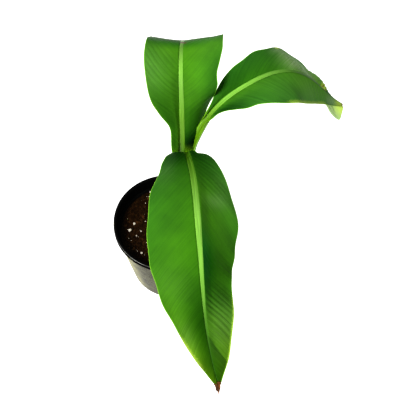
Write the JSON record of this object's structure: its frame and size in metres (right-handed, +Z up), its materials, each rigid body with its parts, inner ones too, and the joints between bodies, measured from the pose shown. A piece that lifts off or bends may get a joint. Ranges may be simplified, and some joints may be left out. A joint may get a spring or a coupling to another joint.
{
  "type": "potted banana plant",
  "caption": "Young banana plant in a round black nursery pot: a leaning pseudostem with broad arching leaves, a front, a back and a side one.",
  "frame": {"origin": "middle of the pot's flat underside", "axes": "+Z up, -Y along the front leaf, +X along the side leaf"},
  "size_m": [0.2155, 0.3186, 0.2984],
  "materials": {
    "pot_plastic": "thin black moulded plastic, glossy",
    "potting_mix": "dark brown crumbly potting mix with white perlite grains",
    "stem_green": "smooth waxy leaf sheaths, pale green",
    "rib_green": "smooth light green stalks and midribs",
    "leaf_green": "satin green leaf with fine oblique side veins",
    "dry_brown": "dry curled brown leaf tip"
  },
  "bodies": {
    "root": {"pot": "pot_plastic", "potting_mix": "potting_mix", "pseudostem": "stem_green", "front_leaf_stalk": "rib_green", "front_leaf_midrib_inner": "rib_green", "front_leaf_midrib_outer": "rib_green", "front_leaf_left_inner": "leaf_green", "front_leaf_left_outer": "leaf_green", "front_leaf_right_inner": "leaf_green", "front_leaf_right_outer": "leaf_green", "front_leaf_dry_tip": "dry_brown", "back_leaf_stalk": "rib_green", "back_leaf_midrib_inner": "rib_green", "back_leaf_midrib_outer": "rib_green", "back_leaf_left_inner": "leaf_green", "back_leaf_left_outer": "leaf_green", "back_leaf_right_inner": "leaf_green", "back_leaf_right_outer": "leaf_green", "side_leaf_stalk": "rib_green", "side_leaf_midrib_inner": "rib_green", "side_leaf_midrib_outer": "rib_green", "side_leaf_left_inner": "leaf_green", "side_leaf_left_outer": "leaf_green", "side_leaf_right_inner": "leaf_green", "side_leaf_right_outer": "leaf_green"}
  },
  "joints": []
}
